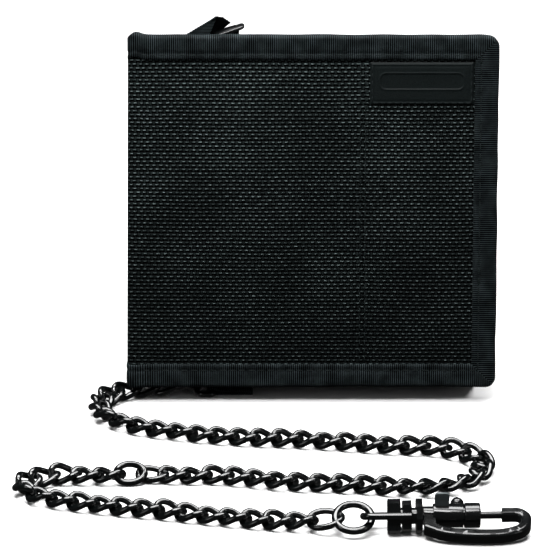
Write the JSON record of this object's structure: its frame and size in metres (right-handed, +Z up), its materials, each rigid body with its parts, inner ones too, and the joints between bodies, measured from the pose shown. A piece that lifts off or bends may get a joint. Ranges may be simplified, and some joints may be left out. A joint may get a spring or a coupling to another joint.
{
  "type": "chain wallet",
  "caption": "Folded nylon wallet with bound edges, a zipped pouch, card pockets and a steel chain that ends in a swivel snap hook.",
  "frame": {"origin": "on the floor, under the middle of the folded wallet, without the chain and hook", "axes": "+X from the fold towards the open edge, +Y from the front cover to the back cover, +Z up"},
  "size_m": [0.1451, 0.1318, 0.1143],
  "materials": {
    "ballistic_nylon": "coarse twisted ballistic weave, slight sheen",
    "binding_tape": "ribbed grosgrain",
    "webbing": "flat woven webbing",
    "lining": "smooth fine twill",
    "zip_tape": "herringbone tape",
    "board": "matte sheet",
    "label": "soft satin, fine grain",
    "window_film": "clear film",
    "zip_teeth": "satin moulded",
    "zip_metal": "black nickel, glossy",
    "chain_steel": "glossy black plated",
    "hook_casting": "glossy black cast",
    "bolt_steel": "glossy black",
    "spring_steel": "bright wire",
    "tab_metal": "worn satin grey"
  },
  "bodies": {
    "back_half": {"spine_back": "ballistic_nylon", "back_cover_panel": "ballistic_nylon", "back_stiffener": "board", "back_lining": "lining", "back_binding": "binding_tape", "pouch_front_wall": "lining", "id_window": "window_film", "pouch_gusset": "lining", "pouch_divider": "lining", "zip_tape_front": "zip_tape", "zip_tape_back": "zip_tape", "zip_teeth_front": "zip_teeth", "zip_teeth_back": "zip_teeth", "zip_end_stops": "zip_metal", "chain_tab": "webbing", "d_ring": "chain_steel", "chain": "chain_steel", "end_ring": "chain_steel", "swivel_bow": "chain_steel", "swivel_pins": "chain_steel", "swivel_spool": "hook_casting"},
    "front_cover": {"front_cover_panel": "ballistic_nylon", "front_stiffener": "board", "front_lining": "lining", "front_binding": "binding_tape", "label_patch": "label", "card_pocket_1": "lining", "card_pocket_2": "lining", "card_pocket_3": "lining", "spine_front": "ballistic_nylon"},
    "zip_slider": {"zip_slider_body": "zip_metal", "zip_slider_plate": "zip_metal"},
    "zip_pull": {"zip_pull": "zip_metal", "zip_pull_ribbon": "binding_tape"},
    "hook": {"hook_body": "hook_casting", "bolt_spring": "spring_steel"},
    "bolt": {"bolt": "bolt_steel", "bolt_knob": "bolt_steel"},
    "lock_sleeve": {"lock_sleeve": "hook_casting", "sleeve_tab": "tab_metal"}
  },
  "joints": [
    {"name": "cover_fold", "type": "hinge", "parent": "back_half", "child": "front_cover", "pos_m": [-0.055, -0.00031, 0], "axis": [0, -0.061, -0.9981], "range_deg": [0, 180]},
    {"name": "zip_slide", "type": "slide", "parent": "back_half", "child": "zip_slider", "axis": [1, 0, 0], "range_m": [0, 0.076]},
    {"name": "zip_pull_flip", "type": "hinge", "parent": "zip_slider", "child": "zip_pull", "pos_m": [-0.0385, 0.00694, 0.106], "axis": [0, -1, 0], "range_deg": [-12, 110]},
    {"name": "swivel_spin", "type": "hinge", "parent": "back_half", "child": "hook", "pos_m": [0.035, -0.1084, 0.00488], "axis": [0.9997, 0.0227, 0], "continuous": true},
    {"name": "bolt_slide", "type": "slide", "parent": "hook", "child": "bolt", "axis": [-0.9997, -0.0227, 0], "range_m": [0, 0.005], "stiffness_N_per_m": 400, "springref_m": -0.002, "deforming": ["bolt_spring"]},
    {"name": "sleeve_turn", "type": "hinge", "parent": "hook", "child": "lock_sleeve", "pos_m": [0.035, -0.1084, 0.00488], "axis": [0.9997, 0.0227, 0], "range_deg": [0, 60]}
  ]
}
